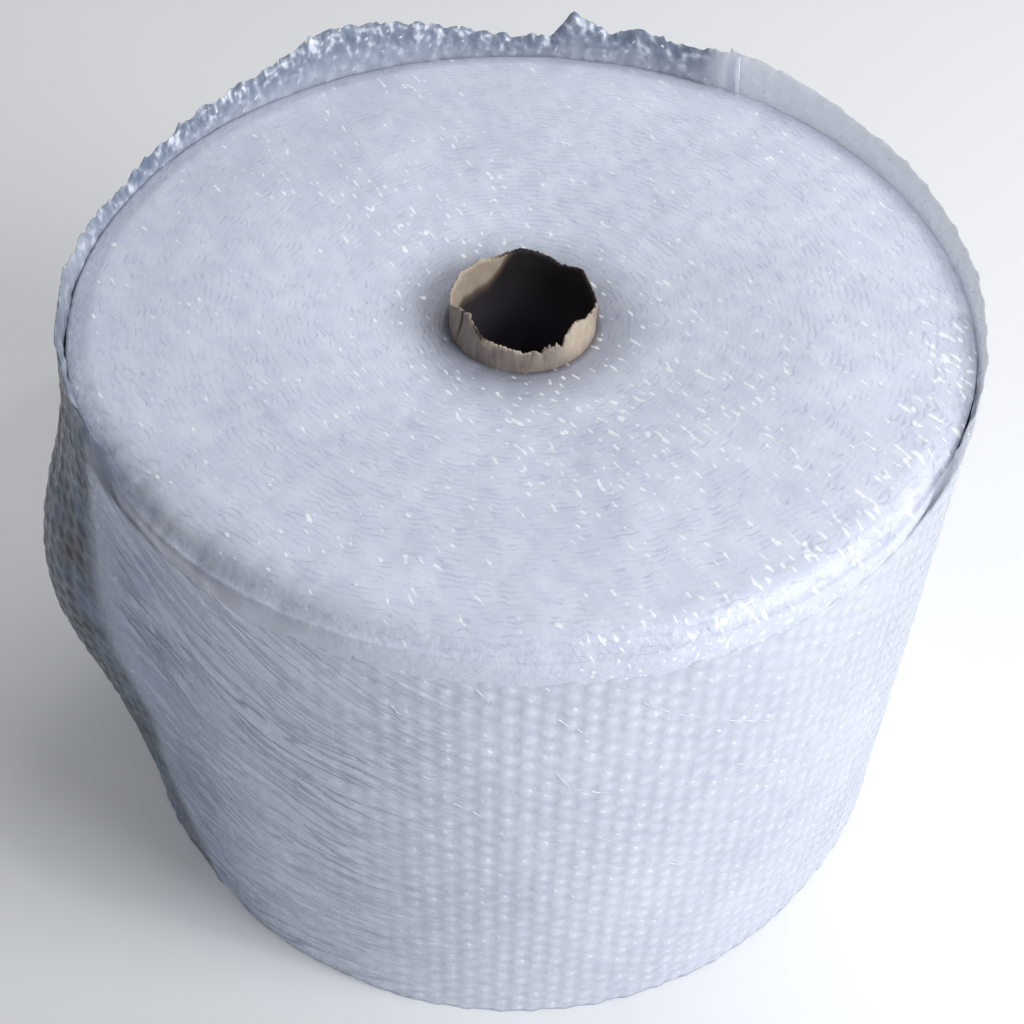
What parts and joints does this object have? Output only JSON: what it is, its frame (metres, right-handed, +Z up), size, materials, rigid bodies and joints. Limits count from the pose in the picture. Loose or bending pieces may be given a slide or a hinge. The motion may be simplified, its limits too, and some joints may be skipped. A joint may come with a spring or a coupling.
{
  "type": "bubble wrap roll",
  "caption": "Roll of small-bubble cushioning film wound on a paper core tube, standing on one end, with a slack last turn and a torn core rim.",
  "frame": {"origin": "centre of the core tube at the end that the roll stands on", "axes": "+Z up along the core; the slack pocket of the last turn bulges towards -X; -Y is the front"},
  "size_m": [0.5237, 0.4829, 0.3806],
  "materials": {
    "bubble_film": "clear polyethylene film, milky where its turns lie together",
    "core_board": "matt kraft board, cream inside"
  },
  "bodies": {
    "root": {"bubble_web": "bubble_film", "core_tube": "core_board"}
  },
  "joints": []
}
